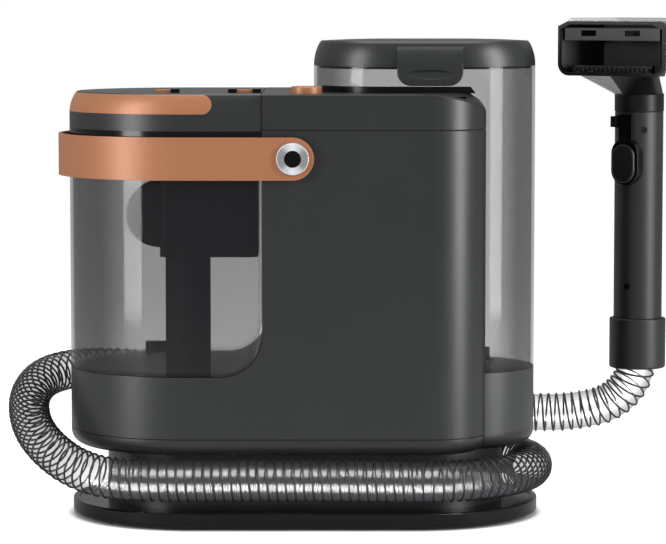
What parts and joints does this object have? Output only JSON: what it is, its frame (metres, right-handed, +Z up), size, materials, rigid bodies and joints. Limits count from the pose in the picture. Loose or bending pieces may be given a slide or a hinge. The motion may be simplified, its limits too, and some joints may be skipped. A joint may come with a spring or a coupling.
{
  "type": "portable carpet cleaner",
  "caption": "Portable carpet and upholstery cleaner: oval base with wrapped clear hose, see-through dirty and clean water tanks, strap handle and a hand wand with a wide spray nozzle.",
  "frame": {"origin": "middle of the centre foot, on the surface that the machine stands on", "axes": "+X from the dirty-water tank to the clean-water tank, +Y to the back, +Z up"},
  "size_m": [0.5388, 0.2493, 0.3947],
  "materials": {
    "charcoal_abs": "satin moulded ABS",
    "black_gloss_abs": "polished ABS",
    "black_satin_abs": "satin moulded ABS",
    "dock_grey": "satin moulded ABS",
    "smoked_clear": "smoked SAN, polished",
    "copper_lacquer": "satin copper lacquer",
    "chrome": "polished",
    "rubber": "moulded",
    "silicone": "clear moulded",
    "steel": "zinc plated",
    "dark_inner": "moulded",
    "motor_steel": "drawn sheet",
    "board_green": "solder mask",
    "hose_vinyl": "clear ribbed vinyl",
    "clear_pc": "polished polycarbonate",
    "float_white": "blown polypropylene"
  },
  "bodies": {
    "machine": {"base_plate": "black_gloss_abs", "rubber_feet": "rubber", "case_screws": "steel", "hose_neck": "black_satin_abs", "body_tray": "black_gloss_abs", "front_shell": "charcoal_abs", "rear_shell": "charcoal_abs", "tank_cradle": "dark_inner", "tank_bay_liner": "dark_inner", "clean_tank_dock": "dock_grey", "top_cap": "charcoal_abs", "tank_collar": "black_gloss_abs", "handle_pivot_pins": "black_gloss_abs", "motor_mount": "rubber", "vacuum_motor_can": "motor_steel", "pump_body": "black_satin_abs", "control_board": "board_green", "suction_duct": "black_satin_abs", "exhaust_grille": "black_satin_abs", "power_cord_gland": "rubber", "hose_outlet": "black_satin_abs", "rear_hose_hooks": "black_satin_abs", "hose": "hose_vinyl", "hose_wand_cuff": "black_satin_abs", "power_button_spring": "steel"},
    "carry_handle": {"strap_handle": "copper_lacquer", "pivot_rings": "chrome"},
    "dirty_tank": {"dirty_tank_bowl": "smoked_clear", "riser_pipe": "dark_inner"},
    "dirty_tank_lid": {"dirty_lid": "charcoal_abs", "lid_trim": "copper_lacquer", "tank_gasket": "silicone", "latch_sockets": "black_gloss_abs", "separator_housing": "dark_inner", "float_drum": "dark_inner"},
    "float": {"float_ball": "float_white"},
    "left_latch": {"lid_latch_left": "copper_lacquer"},
    "right_latch": {"lid_latch_right": "copper_lacquer"},
    "clean_tank": {"clean_tank_shell": "smoked_clear", "clean_lid_hinge_pin": "steel", "valve_seat": "dark_inner", "valve_spring": "steel"},
    "valve": {"valve_poppet": "black_satin_abs"},
    "clean_lid": {"clean_tank_lid": "charcoal_abs", "clean_lid_gasket": "rubber"},
    "power_switch": {"power_button": "copper_lacquer"},
    "rotor": {"motor_rotor": "motor_steel"},
    "wand": {"wand_front_shell": "black_satin_abs", "wand_rear_shell": "black_satin_abs", "wand_screws": "steel", "wand_bezel": "black_gloss_abs", "spray_valve": "black_satin_abs", "trigger_spring": "steel"},
    "trigger": {"trigger_button": "black_satin_abs"},
    "nozzle_release": {"nozzle_release_button": "black_satin_abs"},
    "nozzle": {"nozzle_head": "black_gloss_abs", "nozzle_duct": "clear_pc", "nozzle_window": "clear_pc", "spray_bar": "black_satin_abs", "brush_strip": "black_satin_abs"}
  },
  "joints": [
    {"name": "strap_pivot", "type": "hinge", "parent": "machine", "child": "carry_handle", "pos_m": [-0.0086, 0, 0.288], "axis": [0, 1, 0], "range_deg": [0, 90]},
    {"name": "dirty_tank_lift", "type": "slide", "parent": "machine", "child": "dirty_tank", "axis": [0, 0, 1], "range_m": [0, 0.25]},
    {"name": "dirty_lid_lift", "type": "slide", "parent": "dirty_tank", "child": "dirty_tank_lid", "axis": [0, 0, 1], "range_m": [0, 0.14]},
    {"name": "float_rise", "type": "slide", "parent": "dirty_tank_lid", "child": "float", "axis": [0, 0, 1], "range_m": [0, 0.012]},
    {"name": "left_latch_slide", "type": "slide", "parent": "dirty_tank_lid", "child": "left_latch", "axis": [1, 0, 0], "range_m": [0, 0.005]},
    {"name": "right_latch_slide", "type": "slide", "parent": "dirty_tank_lid", "child": "right_latch", "axis": [1, 0, 0], "range_m": [0, 0.005]},
    {"name": "clean_tank_lift", "type": "slide", "parent": "machine", "child": "clean_tank", "axis": [0, 0, 1], "range_m": [0, 0.25]},
    {"name": "valve_lift", "type": "slide", "parent": "clean_tank", "child": "valve", "axis": [0, 0, 1], "range_m": [0, 0.003], "stiffness_N_per_m": 200, "deforming": ["valve_spring"]},
    {"name": "clean_lid_hinge", "type": "hinge", "parent": "clean_tank", "child": "clean_lid", "pos_m": [0.095, 0.0705, 0.3525], "axis": [-1, 0, 0], "range_deg": [0, 100]},
    {"name": "power_button_press", "type": "slide", "parent": "machine", "child": "power_switch", "axis": [0, 0, -1], "range_m": [0, 0.004], "stiffness_N_per_m": 500, "deforming": ["power_button_spring"]},
    {"name": "motor_spin", "type": "hinge", "parent": "machine", "child": "rotor", "pos_m": [0.031, 0, 0.13], "axis": [0, 0, 1], "continuous": true},
    {"name": "wand_swivel", "type": "hinge", "parent": "machine", "child": "wand", "pos_m": [0.276, 0.1, 0.135], "axis": [0, 0, 1], "continuous": true},
    {"name": "trigger_press", "type": "slide", "parent": "wand", "child": "trigger", "axis": [0.5736, 0.8192, 0], "range_m": [0, 0.004], "stiffness_N_per_m": 600, "deforming": ["trigger_spring"]},
    {"name": "nozzle_release_press", "type": "slide", "parent": "wand", "child": "nozzle_release", "axis": [0.5736, 0.8192, 0], "range_m": [0, 0.002], "stiffness_N_per_m": 800},
    {"name": "nozzle_pull", "type": "slide", "parent": "wand", "child": "nozzle", "axis": [0, 0, 1], "range_m": [0, 0.06]}
  ]
}
